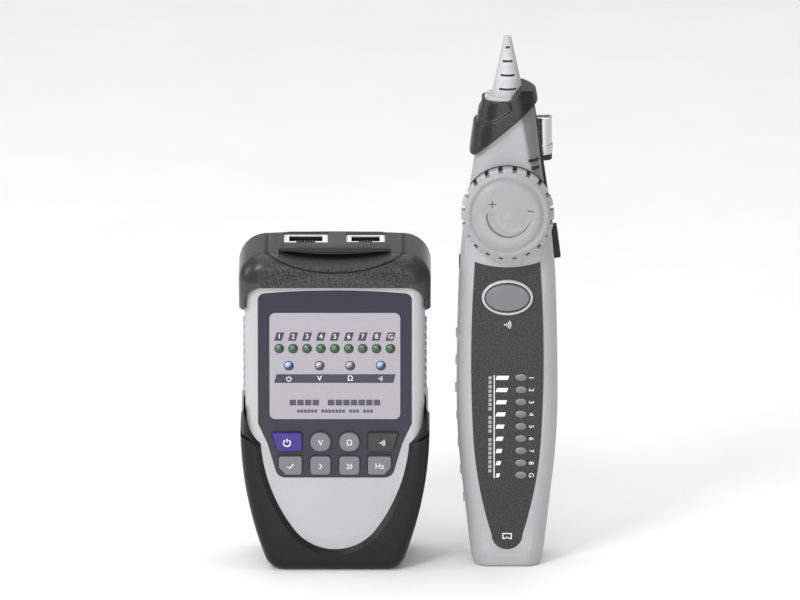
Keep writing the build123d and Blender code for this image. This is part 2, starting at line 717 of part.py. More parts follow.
def sensitivity_knob():
    """Notched dial with a stepped face, plus and minus marks and a tapering arc."""
    profile = Polyline((0, 0.2), (KNOB_RADIUS, 0.2), (KNOB_RADIUS, 6.4), (15.9, 7.2), (14.3, 8.5),
                       (13.6, 8.4), (13.0, 8.1), (12.4, 8.4), (11.4, 9.0), (0, 9.2), close=True)
    dial = revolve(Plane.XZ * make_face(profile), axis=Axis.Z)
    for i in range(KNOB_NOTCHES):
        turn = Rot(0, 0, 360 / KNOB_NOTCHES * (i + 0.5))
        dial = dial - turn * Pos(KNOB_RADIUS, 0, 3.7) * Box(2.6, 1.7, 8.4)
    dial = dial - Pos(0, 0, 2.6) * Cylinder(3.0, 5.2)
    arc = make_face(ThreePointArc((-7.8, 0.9), (0.4, -7.9), (8.3, -0.4))
                    + ThreePointArc((8.3, -0.4), (1.4, -6.2), (-4.7, 0.7))
                    + Line((-4.7, 0.7), (-7.8, 0.9)))
    marks = arc + Pos(-5.5, 4.2) * (Rectangle(2.6, 0.5) + Rectangle(0.5, 2.6))
    marks = marks + Pos(8.3, 1.7) * Rot(0, 0, -8) * Rectangle(2.5, 0.5)
    dial = dial - extrude(Pos(0, 0, 8.8) * marks, amount=1.0)
    return knob_plane().location * dial


def gain_potentiometer():
    body = knob_disc(7.6, -8.4, -3.0) + knob_disc(4.1, -3.1, -0.3)
    return body - knob_disc(3.05, -7.6, 1)


def scan_bezel():
    ring = slab(scan_ellipse(SCAN_HALF), PROBE_FRONT_Y - 0.9, PROBE_FRONT_Y + 0.6)
    ring = fillet(ring.edges().group_by(Axis.Y)[0], 0.6)
    return ring - slab(scan_ellipse(SCAN_HALF, -0.9), -20, 0)


def scan_key():
    cap = slab(scan_ellipse(SCAN_CAP_HALF), PROBE_FRONT_Y - 1.2, -11.6)
    cap = fillet(cap.edges().group_by(Axis.Y)[0], 0.8)
    cap = cap + slab(scan_ellipse(SCAN_CAP_HALF, 1.2), -11.8, -11.0)
    return cap + rod(0, SCAN_Z, 2.0, -11.1, PROBE_BOARD_Y[0] - SCAN_TRAVEL - 0.5)


def probe_label():
    label = slab(label_outline(), PROBE_FRONT_Y, PROBE_FRONT_Y + 0.6)
    label = label - slab(scan_ellipse(SCAN_HALF), -20, 0)
    for z in probe_led_heights():
        label = label - slab(probe_led_outline(z, 0.1), -20, 0)
    return label


def probe_led(z):
    lens = slab(probe_led_outline(z), PROBE_FRONT_Y - 0.35, PROBE_BOARD_Y[0])
    return fillet(lens.edges().group_by(Axis.Y)[0], 0.3)


def probe_board():
    front, back = PROBE_BOARD_Y
    board = slab(Pos(0, 67.0) * RectangleRounded(23.0, 72.0, 2.0), front, back)
    board = board + block((-3, 3), (front - 0.4, front), (SCAN_Z - 3, SCAN_Z + 1.5))
    for x, z in [((-8, 2), (90, 100)), ((4, 9), (92, 99))]:
        board = board + block(x, (back, back + 1.1), z)
    return board


def lamp_barrel():
    x, y = LAMP_X, LAMP_Y
    barrel = Pos(x, y, 156.0) * Cylinder(LAMP_RADIUS, 13.6)
    grip = Pos(x, y, 151.4) * Cylinder(LAMP_RADIUS + 0.35, 3.6)
    barrel = barrel + fillet(grip.edges().filter_by(GeomType.CIRCLE), 0.5)
    return barrel - Pos(x, y, 161.6) * Cylinder(LAMP_RADIUS - 0.45, 3.0)


def side_switch():
    cap = switch_prism(0.0, -2.8, SWITCH_PROUD)
    cap = fillet(cap.faces().sort_by(Axis.X)[-1].edges(), 0.5)
    for i in range(3):
        groove = switch_plane(SWITCH_PROUD - 0.3) * Pos(0, 2.4 * (i - 1)) * Rectangle(3.4, 0.7)
        groove = extrude(groove, amount=1.0)
        cap = cap - groove
    return cap + switch_prism(0.9, -3.6, -2.8)


def earphone_socket():
    barrel = Pos(-11.0, PROBE_PARTING_Y, EAR_JACK_Z) * Cylinder(2.6, 12.8, rotation=(0, 90, 0))
    bore = Pos(-11.6, PROBE_PARTING_Y, EAR_JACK_Z) * Cylinder(EAR_JACK_RADIUS, 12.0, rotation=(0, 90, 0))
    return barrel - bore


def probe_speaker():
    can = rod(0, 96.2, 7.4, 8.2, 11.6)
    return can - rod(0, 96.2, 5.6, 11.0, 12.0)


def probe_line_socket():
    jack = block((-8.0, 8.0), (-6.4, 7.0), (0.2, 17.6))
    jack = jack - block((-6.0, 6.0), (-2.2, 5.4), (0, 13.2))
    return jack - block((-3.2, 3.2), (-4.6, -2.1), (0, 13.2))


def probe_screw(x, z):
    head = rod(x, z, 2.2, 10.5, 12.1)
    head = head - block((x - 1.6, x + 1.6), (11.4, 13), (z - 0.3, z + 0.3))
    head = head - block((x - 0.3, x + 0.3), (11.4, 13), (z - 1.6, z + 1.6))
    return head + rod(x, z, 1.1, -7.0, 10.5)


def make_probe():
    """Writes every piece of the probe."""
    form = loft_sections(PROBE_SECTIONS)
    form = fillet(form.edges().group_by(Axis.Z)[0], 1.5) - block((-40, 40), (-40, PROBE_FRONT_Y), (-5, 200))
    cavity = loft_sections(PROBE_SECTIONS, WALL)
    battery_low = PROBE_DOOR_Z[0] + 3.2
    x, y = LAMP_X, LAMP_Y
    save_probe("probe_front_shell", probe_front_shell(form, cavity))
    save_probe("probe_rear_shell", probe_rear_shell(form, cavity))
    save_probe("probe_battery_door", probe_battery_door(form, cavity))
    save_probe("probe_tip", probe_tip())
    save_probe("pickup_antenna", pickup_antenna())
    save_probe("probe_collar", probe_collar(form))
    save_probe("sensitivity_knob", sensitivity_knob())
    save_probe("knob_spindle", knob_disc(3.0, -6.8, 5.2))
    save_probe("gain_potentiometer", gain_potentiometer())
    save_probe("scan_key_bezel", scan_bezel())
    save_probe("scan_key", scan_key())
    save_probe("probe_label", probe_label())
    save_probe("probe_leds", Compound([probe_led(z) for z in probe_led_heights()]))
    save_probe("probe_circuit_board", probe_board())
    save_probe("lamp_barrel", lamp_barrel())
    save_probe("lamp_lens", Pos(x, y, 161.2) * Cylinder(LAMP_RADIUS - 0.45, 1.0))
    save_probe("lamp_boot", Pos(x, y, 148.2) * Cylinder(LAMP_RADIUS + 0.1, 2.0))
    save_probe("lamp_switch", side_switch())
    save_probe("earphone_socket", earphone_socket())
    save_probe("probe_speaker", probe_speaker())
    save_probe("probe_line_socket", probe_line_socket())
    save_probe("probe_battery", battery(battery_low, back=11.9))
    save_probe("probe_battery_snap", battery_snap(battery_low, back=11.9))
    save_probe("probe_screws", Compound([probe_screw(x, z) for x, z in probe_screw_places()]))


make_tester()
make_probe()
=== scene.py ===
"""Looks of the two-piece cable tracer: finishes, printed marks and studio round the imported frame."""
import bmesh
import bpy
import json
import math
from mathutils import Matrix, Vector


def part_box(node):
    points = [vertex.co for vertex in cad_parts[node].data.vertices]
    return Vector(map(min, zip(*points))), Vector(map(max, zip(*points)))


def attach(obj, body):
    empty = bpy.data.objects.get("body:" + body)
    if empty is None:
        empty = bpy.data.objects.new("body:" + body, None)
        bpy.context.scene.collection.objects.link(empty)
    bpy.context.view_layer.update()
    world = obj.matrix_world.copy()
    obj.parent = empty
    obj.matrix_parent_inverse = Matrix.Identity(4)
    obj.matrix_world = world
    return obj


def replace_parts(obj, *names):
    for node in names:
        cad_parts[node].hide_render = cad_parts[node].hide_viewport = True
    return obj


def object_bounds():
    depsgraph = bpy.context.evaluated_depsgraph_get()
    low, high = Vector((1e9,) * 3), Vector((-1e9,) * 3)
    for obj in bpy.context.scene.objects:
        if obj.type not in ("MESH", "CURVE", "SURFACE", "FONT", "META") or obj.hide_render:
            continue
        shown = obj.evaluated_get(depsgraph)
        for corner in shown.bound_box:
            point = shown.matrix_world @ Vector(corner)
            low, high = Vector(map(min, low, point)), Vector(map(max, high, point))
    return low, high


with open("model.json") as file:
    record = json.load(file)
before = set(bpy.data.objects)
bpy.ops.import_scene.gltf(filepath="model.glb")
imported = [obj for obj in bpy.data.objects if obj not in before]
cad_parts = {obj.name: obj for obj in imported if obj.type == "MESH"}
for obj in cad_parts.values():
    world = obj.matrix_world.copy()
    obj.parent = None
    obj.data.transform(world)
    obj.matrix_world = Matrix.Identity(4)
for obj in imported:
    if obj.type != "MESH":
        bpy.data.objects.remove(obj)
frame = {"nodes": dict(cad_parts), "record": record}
CAD_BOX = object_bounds()
NODES = frame["nodes"]
MM = 0.001

# ---------------------------------------------------------------- node helpers


class Shader:
    """A node material with a Principled surface, and short calls for its nodes."""

    def __init__(self, name, colour, roughness, **sockets):
        self.material = bpy.data.materials.new(name)
        self.material.use_nodes = True
        self.tree = self.material.node_tree
        self.surface = self.tree.nodes["Principled BSDF"]
        self.surface.inputs["Base Color"].default_value = (*colour, 1.0)
        self.surface.inputs["Roughness"].default_value = roughness
        for socket, value in sockets.items():
            self.surface.inputs[socket.replace("_", " ")].default_value = value
        self.place = self.node("ShaderNodeTexCoord").outputs["Object"]

    def node(self, kind, **settings):
        made = self.tree.nodes.new(kind)
        for key, value in settings.items():
            setattr(made, key, value)
        return made

    def link(self, source, target):
        self.tree.links.new(source, target)

    def noise(self, size_mm, detail=2.0, roughness=0.5):
        made = self.node("ShaderNodeTexNoise")
        made.inputs["Scale"].default_value = 1.0 / (size_mm * MM)
        made.inputs["Detail"].default_value = detail
        made.inputs["Roughness"].default_value = roughness
        self.link(self.place, made.inputs["Vector"])
        return made.outputs["Fac"]

    def cells(self, size_mm, feature="F1"):
        made = self.node("ShaderNodeTexVoronoi", feature=feature)
        made.inputs["Scale"].default_value = 1.0 / (size_mm * MM)
        self.link(self.place, made.inputs["Vector"])
        return made.outputs["Distance"]

    def ramp(self, source, low, high, low_value=0.0, high_value=1.0):
        made = self.node("ShaderNodeMapRange")
        made.inputs["From Min"].default_value = low
        made.inputs["From Max"].default_value = high
        made.inputs["To Min"].default_value = low_value
        made.inputs["To Max"].default_value = high_value
        self.link(source, made.inputs["Value"])
        return made.outputs["Result"]

    def math(self, operation, a, b):
        made = self.node("ShaderNodeMath", operation=operation)
        for socket, value in zip(made.inputs, (a, b)):
            if isinstance(value, (int, float)):
                socket.default_value = value
            else:
                self.link(value, socket)
        return made.outputs[0]

    def mix(self, factor, first, second):
        made = self.node("ShaderNodeMix", data_type="RGBA")
        self.link(factor, made.inputs["Factor"])
        for socket, value in ((made.inputs[6], first), (made.inputs[7], second)):
            if isinstance(value, tuple):
                socket.default_value = (*value, 1.0)
            else:
                self.link(value, socket)
        return made.outputs[2]

    def paint(self, source):
        self.link(source, self.surface.inputs["Base Color"])

    def shine(self, source):
        self.link(source, self.surface.inputs["Roughness"])

    def bump(self, source, depth_mm, strength=1.0):
        made = self.node("ShaderNodeBump")
        made.inputs["Distance"].default_value = depth_mm * MM
        made.inputs["Strength"].default_value = strength
        self.link(source, made.inputs["Height"])
        self.link(made.outputs["Normal"], self.surface.inputs["Normal"])

    def across(self, axis, low, high, low_value=0.0, high_value=1.0):
        """Ramp along X, Y or Z of the object, with its limits in millimetres."""
        split = self.node("ShaderNodeSeparateXYZ")
        self.link(self.place, split.inputs[0])
        return self.ramp(split.outputs["XYZ".index(axis)], low * MM, high * MM, low_value, high_value)

    def line(self, axis, level, half):
        """One within a thin band round a level in millimetres, and zero outside it."""
        below = self.across(axis, level - 1.5 * half, level - half)
        above = self.across(axis, level + half, level + 1.5 * half, 1.0, 0.0)
        return self.math("MULTIPLY", below, above)

    def circle_line(self, level, radius, half):
        """One on a thin ring round a centre on the Z axis, seen along Y, in millimetres."""
        flat = self.node("ShaderNodeVectorMath", operation="MULTIPLY")
        self.link(self.place, flat.inputs[0])
        flat.inputs[1].default_value = (1.0, 0.0, 1.0)
        reach = self.node("ShaderNodeVectorMath", operation="DISTANCE")
        self.link(flat.outputs["Vector"], reach.inputs[0])
        reach.inputs[1].default_value = (0.0, 0.0, level * MM)
        off = self.math("ABSOLUTE", self.math("SUBTRACT", reach.outputs["Value"], radius * MM), 0.0)
        return self.ramp(off, half * MM, 1.5 * half * MM, 1.0, 0.0)

    def facing(self, direction, low, high):
        """Ramp over how far the surface faces a direction of the object."""
        turn = self.node("ShaderNodeVectorMath", operation="DOT_PRODUCT")
        self.link(self.node("ShaderNodeTexCoord").outputs["Normal"], turn.inputs[0])
        turn.inputs[1].default_value = Vector(direction).normalized()
        return self.ramp(turn.outputs["Value"], low, high)

    def edges(self, low=0.52, high=0.62):
        """How strongly a point lies on an outward edge."""
        made = self.node("ShaderNodeNewGeometry")
        return self.ramp(made.outputs["Pointiness"], low, high)


def shade(colour, factor):
    return tuple(min(1.0, channel * factor) for channel in colour)


def moulded(name, colour, roughness=0.5, grain_mm=0.35, grain_depth=0.03, speckle=0.12, edge_highlight=0.25, highlight_gain=1.9,
            **sockets):
    """Moulded plastic or rubber: fine eroded grain, faint mottling and a painted highlight on its edges."""
    look = Shader(name, colour, roughness, **sockets)
    grain = look.noise(grain_mm, 3.0, 0.65)
    cloud = look.noise(9.0, 3.0)
    tone = look.mix(look.ramp(grain, 0.35, 0.68), shade(colour, 1 - speckle), shade(colour, 1 + speckle))
    tone = look.mix(look.ramp(cloud, 0.3, 0.7, 0.0, 0.35), tone, shade(colour, 0.88))
    if edge_highlight:
        # Painted highlight: outward edges are mixed towards a paler copy of the colour.
        tone = look.mix(look.math("MULTIPLY", look.edges(), edge_highlight), tone, shade(colour, highlight_gain))
    look.paint(tone)
    look.shine(look.ramp(cloud, 0.25, 0.75, roughness - 0.06, roughness + 0.06))
    look.bump(grain, grain_depth)
    return look.material


def grained(name, colour, roughness, cell_mm, depth):
    """Pebbled film or leather-grain plastic."""
    look = Shader(name, colour, roughness)
    cell = look.cells(cell_mm)
    grain = look.noise(cell_mm * 0.8, 4.0, 0.7)
    height = look.math("ADD", look.math("MULTIPLY", cell, 0.8), grain)
    tone = look.mix(look.ramp(grain, 0.38, 0.62), shade(colour, 0.2), shade(colour, 2.1))
    look.paint(tone)
    look.shine(look.ramp(cell, 0.1, 0.6, roughness - 0.08, roughness + 0.1))
    look.bump(height, depth)
    return look.material


def film(name, colour, roughness=0.34):
    """Printed satin film with a faint orange peel."""
    look = Shader(name, colour, roughness, Coat_Weight=0.25, Coat_Roughness=0.2)
    peel = look.noise(1.1, 2.0)
    fleck = look.noise(0.22, 2.0)
    tone = look.mix(look.ramp(fleck, 0.3, 0.7), shade(colour, 0.94), shade(colour, 1.06))
    look.paint(tone)
    look.shine(look.ramp(peel, 0.3, 0.7, roughness - 0.04, roughness + 0.05))
    look.bump(peel, 0.012)
    return look.material


def metal(name, colour, roughness, brushed_mm=0.3):
    look = Shader(name, colour, roughness, Metallic=1.0)
    streak = look.noise(brushed_mm, 3.0)
    look.paint(look.mix(look.ramp(streak, 0.3, 0.7), shade(colour, 0.86), colour))
    look.shine(look.ramp(streak, 0.3, 0.7, roughness - 0.05, roughness + 0.1))
    look.bump(streak, 0.006)
    return look.material


def shaded_neck_facet(look):
    """One on the facet right of a crease that leans outwards down the probe's neck, where shade is painted.
    """
    split = look.node("ShaderNodeSeparateXYZ")
    look.link(look.place, split.inputs[0])
    x, y, z = (split.outputs[i] for i in range(3))
    lean = look.math("MULTIPLY", look.math("SUBTRACT", 166.0 * MM, z), 0.19)
    past = look.math("SUBTRACT", x, look.math("ADD", lean, (PROBE_MIDDLE + 4.4) * MM))
    side = look.ramp(past, 0.0, 1.2 * MM)
    return look.math("MULTIPLY", side, look.ramp(z, 130.0 * MM, 141.0 * MM))


def casing(name, seam, colour, facet=False):
    """Pale moulded shell with a fine spark grain, a painted highlight on its edges, painted shade on the
    neck's right facet where asked, and a dark parting line.
    """
    look = Shader(name, colour, 0.45)
    grain = look.noise(0.28, 3.0, 0.65)
    cloud = look.noise(12.0, 3.0)
    tone = look.mix(look.ramp(grain, 0.35, 0.68), shade(colour, 0.94), shade(colour, 1.05))
    tone = look.mix(look.ramp(cloud, 0.3, 0.7, 0.0, 0.3), tone, shade(colour, 0.93))
    if facet:
        # Painted shade on the neck's right-hand facet.
        tone = look.mix(shaded_neck_facet(look), tone, shade(colour, 0.42))
    # Painted highlight: outward edges are mixed towards near white.
    tone = look.mix(look.math("MULTIPLY", look.edges(), 0.35), tone, (0.75, 0.75, 0.75))
    tone = look.mix(look.line("Y", seam, 0.12), tone, (0.05, 0.05, 0.05))
    look.paint(tone)
    look.shine(look.ramp(cloud, 0.25, 0.75, 0.38, 0.5))
    groove = look.math("MULTIPLY", look.line("Y", seam, 0.12), -4.0)
    look.bump(look.math("ADD", grain, groove), 0.02)
    return look.material


def cap_plastic(name, colour, trough_shadow=False):
    """Cap with a coarse spark band, smoother corners and crest with a painted highlight that fades to
    painted shade lower down, a painted highlight on its edges, painted shadow in the bezel's trough where
    asked, and a dark gap round its insert.
    """
    look = Shader(name, colour, 0.4, Specular_IOR_Level=0.3)
    coarse = look.noise(0.8, 4.0, 0.75)
    fine = look.noise(0.2, 2.0)
    right = look.across("X", 23.5, 28.0)
    left = look.across("X", -28.0, -23.5, 1.0, 0.0)
    corner = look.math("MAXIMUM", left, right)
    band = look.mix(look.ramp(coarse, 0.42, 0.62), shade(colour, 0.1), shade(colour, 3.0))
    pad_highlight = look.mix(look.ramp(fine, 0.3, 0.7), shade(colour, 1.2), shade(colour, 1.6))
    crest = look.across("Z", 112.5, 117.0)
    smooth = look.math("MAXIMUM", corner, crest)
    # Painted highlight on the smooth corners and crest, fading to painted shade lower down.
    tone = look.mix(smooth, band, look.mix(look.across("Z", 104.0, 116.0), shade(colour, 0.7), pad_highlight))
    # Painted highlight: outward edges are mixed towards a much paler copy of the colour.
    tone = look.mix(look.math("MULTIPLY", look.edges(), 0.4), tone, shade(colour, 6.0))
    if trough_shadow:
        # Painted shadow: the trough floor under the bezel's lip is made near black.
        floor = look.math("MULTIPLY", look.facing((0, -0.15, 1), 0.6, 0.85), look.across("Y", -16.0, -11.0))
        inside = look.math("MULTIPLY", floor, look.across("Z", 116.6, 117.0, 1.0, 0.0))
        tone = look.mix(look.math("MULTIPLY", inside, 0.93), tone, (0.001, 0.001, 0.001))
    look.paint(look.mix(look.circle_line(*INSERT_ARC, 0.3), tone, (0.002, 0.002, 0.002)))
    look.shine(look.ramp(smooth, 0.0, 1.0, 0.5, 0.27))
    height = look.math("MULTIPLY", coarse, look.ramp(smooth, 0.0, 1.0, 1.0, 0.1))
    look.bump(height, 0.09)
    return look.material


def socket_plastic(name, colour, mouth):
    """Pale socket body with painted shade inside it, below its mouth."""
    look = Shader(name, colour, 0.3)
    fleck = look.noise(0.4, 2.0)
    rim = look.mix(look.ramp(fleck, 0.3, 0.7), shade(colour, 0.95), shade(colour, 1.02))
    low, high = mouth
    # Painted shade: below the mouth the body is made near black.
    look.paint(look.mix(look.across("Z", low, high), (0.012, 0.012, 0.012), rim))
    look.bump(fleck, 0.01)
    return look.material


def panel_print(name):
    """Dark satin film with a painted reflection that makes it paler towards its lower edge."""
    look = Shader(name, PANEL_DARK, 0.32, Coat_Weight=0.12, Coat_Roughness=0.15, Specular_IOR_Level=0.35)
    low, high = (corner.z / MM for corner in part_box("tester_face_panel"))
    peel = look.noise(1.1, 2.0)
    fleck = look.noise(0.2, 2.0)
    # Painted reflection: the film grows paler towards its lower edge.
    base = look.mix(look.across("Z", low, high), PANEL_REFLECTION, PANEL_DARK)
    look.paint(look.mix(look.ramp(fleck, 0.3, 0.7, 0.0, 0.12), base, (0.10, 0.10, 0.12)))
    look.shine(look.ramp(peel, 0.3, 0.7, 0.28, 0.36))
    look.bump(peel, 0.01)
    return look.material


def lamp(name, dark, bright, roughness=0.1):
    """Tinted lamp with a painted highlight on its upper left and painted shade towards its lower right."""
    look = Shader(name, bright, roughness, Coat_Weight=0.8, Coat_Roughness=0.04)
    depth = look.noise(0.9, 2.0)
    # Painted light: paler where the body faces the upper left, darker where it faces away.
    tone = look.mix(look.facing((-0.55, -0.35, 0.75), 0.15, 0.85), dark, bright)
    look.paint(look.mix(look.ramp(depth, 0.35, 0.7, 0.0, 0.25), tone, shade(dark, 1.5)))
    look.shine(look.ramp(depth, 0.3, 0.7, roughness, roughness + 0.08))
    return look.material


def ink(name, colour, roughness=0.5):
    look = Shader(name, colour, roughness)
    fleck = look.noise(0.15, 2.0)
    look.paint(look.mix(look.ramp(fleck, 0.3, 0.75), shade(colour, 0.92), shade(colour, 1.05)))
    return look.material


def clear_lens(name):
    look = Shader(name, (0.93, 0.95, 0.97), 0.08, IOR=1.49, Transmission_Weight=0.75)
    ring = look.noise(0.8, 1.0)
    look.shine(look.ramp(ring, 0.3, 0.7, 0.05, 0.14))
    return look.material


def board_green():
    look = Shader("board", (0.02, 0.16, 0.06), 0.35, Coat_Weight=0.3)
    track = look.cells(2.4)
    look.paint(look.mix(look.ramp(track, 0.42, 0.5), (0.02, 0.16, 0.06), (0.05, 0.26, 0.1)))
    look.bump(track, 0.03)
    return look.material


SILVER, PROBE_SILVER = (0.425, 0.425, 0.435), (0.38, 0.38, 0.387)
# The second panel colour is a painted reflection on the panel's lower part.
PANEL_DARK, PANEL_REFLECTION = (0.009, 0.008, 0.026), (0.024, 0.023, 0.036)
PROBE_MIDDLE = 62.0            # centre line of the probe, mm
INSERT_ARC = (165.28, 53.48)   # centre height and radius of the gap round the socket insert, mm
LOOKS = {
    "shell_grey": casing("shell_grey", 0.0, SILVER),
    "probe_shell": casing("probe_shell", 1.0, PROBE_SILVER, True),
    "dark_plastic": moulded("dark_plastic", (0.016, 0.016, 0.017), 0.45, 0.35, 0.03, 0.2, 0.3,
                            Specular_IOR_Level=0.35),
    "cap_plastic": cap_plastic("cap_plastic", (0.022, 0.022, 0.0215)),
    "bezel_plastic": cap_plastic("bezel_plastic", (0.022, 0.022, 0.0215), True),
    "boot_rubber": moulded("boot_rubber", (0.006, 0.006, 0.006), 0.3, 0.3, 0.03, 0.3, 0.3, 8.0,
                           Specular_IOR_Level=0.28),
    "collar_rubber": moulded("collar_rubber", (0.008, 0.008, 0.008), 0.3, 0.45, 0.05, 0.5, 0.7, 8.0,
                             Specular_IOR_Level=0.45),
    "panel_film": panel_print("panel_film"),
    "window_film": film("window_film", (0.345, 0.328, 0.362), 0.4),
    "label_film": grained("label_film", (0.021, 0.021, 0.0215), 0.55, 0.7, 0.08),
    "key_grey": moulded("key_grey", (0.165, 0.162, 0.178), 0.42, 0.2, 0.01, 0.06, 0.3),
    "key_violet": moulded("key_violet", (0.036, 0.017, 0.21), 0.38, 0.2, 0.01, 0.06, 0.15),
    "key_dark": moulded("key_dark", (0.040, 0.040, 0.041), 0.42, 0.2, 0.01, 0.1, 0.2,
                        Specular_IOR_Level=0.35),
    "knob_grey": moulded("knob_grey", (0.30, 0.30, 0.305), 0.42, 0.3, 0.02, 0.08, 0.4, 1.7),
    "trim_grey": moulded("trim_grey", (0.45, 0.45, 0.455), 0.3, 0.3, 0.01, 0.05, 0.2),
    "socket_white": socket_plastic("socket_white", (0.80, 0.80, 0.78), (116.9, 117.3)),
    "probe_socket": socket_plastic("probe_socket", (0.04, 0.04, 0.04), (-2.0, -1.0)),
    "led_green": lamp("led_green", (0.004, 0.022, 0.006), (0.04, 0.20, 0.055)),
    "led_blue": lamp("led_blue", (0.006, 0.010, 0.05), (0.42, 0.62, 1.0)),
    "led_clear": lamp("led_clear", (0.020, 0.021, 0.018), (0.52, 0.53, 0.47)),
    "led_pipe": lamp("led_pipe", (0.055, 0.055, 0.056), (0.30, 0.30, 0.31), 0.3),
    "mat_rubber": moulded("mat_rubber", (0.4, 0.4, 0.42), 0.6, 0.4, 0.02, 0.05, 0.1),
    "board": board_green(),
    "battery_case": film("battery_case", (0.18, 0.18, 0.2), 0.3),
    "steel": metal("steel", (0.6, 0.6, 0.6), 0.3),
    "chrome_trim": metal("chrome_trim", (0.62, 0.62, 0.63), 0.2),
    "lens_clear": clear_lens("lens_clear"),
    "gold": metal("gold", (0.83, 0.62, 0.25), 0.25),
    "chrome_bright": metal("chrome_bright", (0.95, 0.95, 0.95), 0.1),
    "ink_black": ink("ink_black", (0.008, 0.008, 0.009)),
    "ink_white": ink("ink_white", (0.82, 0.82, 0.82)),
    "ink_dark": ink("ink_dark", (0.040, 0.038, 0.062)),
    "ink_grey": ink("ink_grey", (0.065, 0.063, 0.085)),
    "ink_pale": ink("ink_pale", (0.36, 0.36, 0.36)),
    "ink_shade": ink("ink_shade", (0.12, 0.12, 0.122)),
}

# ---------------------------------------------------------------- smoothing of carried-over pieces


def smoothing_group(angle):
    """Node group that shades faces smooth and keeps edges sharper than an angle."""
    group = bpy.data.node_groups.new("smooth_by_angle", "GeometryNodeTree")
    group.interface.new_socket("Geometry", in_out="INPUT", socket_type="NodeSocketGeometry")
    group.interface.new_socket("Geometry", in_out="OUTPUT", socket_type="NodeSocketGeometry")
    nodes, links = group.nodes, group.links
    start, end = nodes.new("NodeGroupInput"), nodes.new("NodeGroupOutput")
    bend = nodes.new("GeometryNodeInputMeshEdgeAngle")
    test = nodes.new("FunctionNodeCompare")
    test.data_type = "FLOAT"
    test.operation = "LESS_EQUAL"
    test.inputs["B"].default_value = math.radians(angle)
    faces, seams = nodes.new("GeometryNodeSetShadeSmooth"), nodes.new("GeometryNodeSetShadeSmooth")
    faces.domain, seams.domain = "FACE", "EDGE"
    links.new(bend.outputs["Unsigned Angle"], test.inputs["A"])
    links.new(start.outputs[0], faces.inputs["Geometry"])
    links.new(faces.outputs[0], seams.inputs["Geometry"])
    links.new(test.outputs["Result"], seams.inputs["Shade Smooth"])
    links.new(seams.outputs[0], end.inputs[0])
    return group


SMOOTH = smoothing_group(32)


def weld_seams(piece):
    weld = piece.modifiers.new("weld", "WELD")
    weld.merge_threshold = 0.002 * MM


def weld_and_smooth(piece):
    weld_seams(piece)
    smooth = piece.modifiers.new("smooth", "NODES")
    smooth.node_group = SMOOTH


OWN_LOOKS = {
    "probe_front_shell": "probe_shell",
    "probe_rear_shell": "probe_shell",
    "probe_battery_door": "probe_shell",
    "probe_line_socket": "probe_socket",
    "socket_bezel": "bezel_plastic",
}


def dress_frame():
    slots = {row["node"]: row["material_slot"] for row in frame["record"]["subparts"]}
    for name, piece in NODES.items():
        piece.data.materials.clear()
        piece.data.materials.append(LOOKS[OWN_LOOKS.get(name, slots[name])])
        weld_and_smooth(piece)


# ---------------------------------------------------------------- piece helpers
PRINT = 0.06              # thickness of printed marks, mm
TESTER, PROBE = "tester", "probe"


def edge(node, axis, side):
    """One face of a node's box at rest, in millimetres."""
    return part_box(node)[side][axis] / MM


def middle(node):
    low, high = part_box(node)
    return (low + high) / (2 * MM)


def add(name, mesh, body, look):
    """Turns a bmesh in millimetres into a piece that rides on a body."""
    bmesh.ops.recalc_face_normals(mesh, faces=mesh.faces)
    mesh.transform(Matrix.Scale(MM, 4))
    data = bpy.data.meshes.new(name)
    mesh.to_mesh(data)
    mesh.free()
    piece = bpy.data.objects.new(name, data)
    bpy.context.scene.collection.objects.link(piece)
    data.materials.append(LOOKS[look])
    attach(piece, body)
    return piece


def plate(mesh, loop, front, back):
    """Adds a slab with an outline in X and Z between two Y levels."""
    near = [mesh.verts.new((x, front, z)) for x, z in loop]
    far = [mesh.verts.new((x, back, z)) for x, z in loop]
    mesh.faces.new(near)
    mesh.faces.new(list(reversed(far)))
    for i, corner in enumerate(near):
        j = (i + 1) % len(near)
        mesh.faces.new((near[j], corner, far[i], far[j]))


def frame_plate(mesh, outer, inner, front, back):
    """Adds a slab between two outlines with the same number of points."""
    rings = [[mesh.verts.new((x, y, z)) for x, z in loop]
             for loop, y in ((outer, front), (inner, front), (inner, back), (outer, back))]
    count = len(outer)
    for first, second in zip(rings, rings[1:] + rings[:1]):
        for i in range(count):
            j = (i + 1) % count
            mesh.faces.new((first[i], first[j], second[j], second[i]))


def parallelogram(x, z, width, height, slant=0.0):
    w, h, s = width / 2, height / 2, slant / 2
    return [(x - w - s, z - h), (x + w - s, z - h), (x + w + s, z + h), (x - w + s, z + h)]


def rounded(points, radius, steps=5):
    """Closed outline with its corners rounded by arcs."""
    loop = []
    for before, corner, after in zip(points[-1:] + points[:-1], points, points[1:] + points[:1]):
        corner = Vector(corner)
        back = (Vector(before) - corner).normalized()
        ahead = (Vector(after) - corner).normalized()
        half = back.angle(ahead) / 2
        centre = corner + (back + ahead).normalized() * (radius / math.sin(half))
        start = corner + back * (radius / math.tan(half)) - centre
        stop = corner + ahead * (radius / math.tan(half)) - centre
        for i in range(steps + 1):
            loop.append(tuple(centre + start.slerp(stop, i / steps)))
    return loop


def circle(x, z, radius, count=32):
    turns = [2 * math.pi * i / count for i in range(count)]
    return [(x + radius * math.cos(turn), z + radius * math.sin(turn)) for turn in turns]


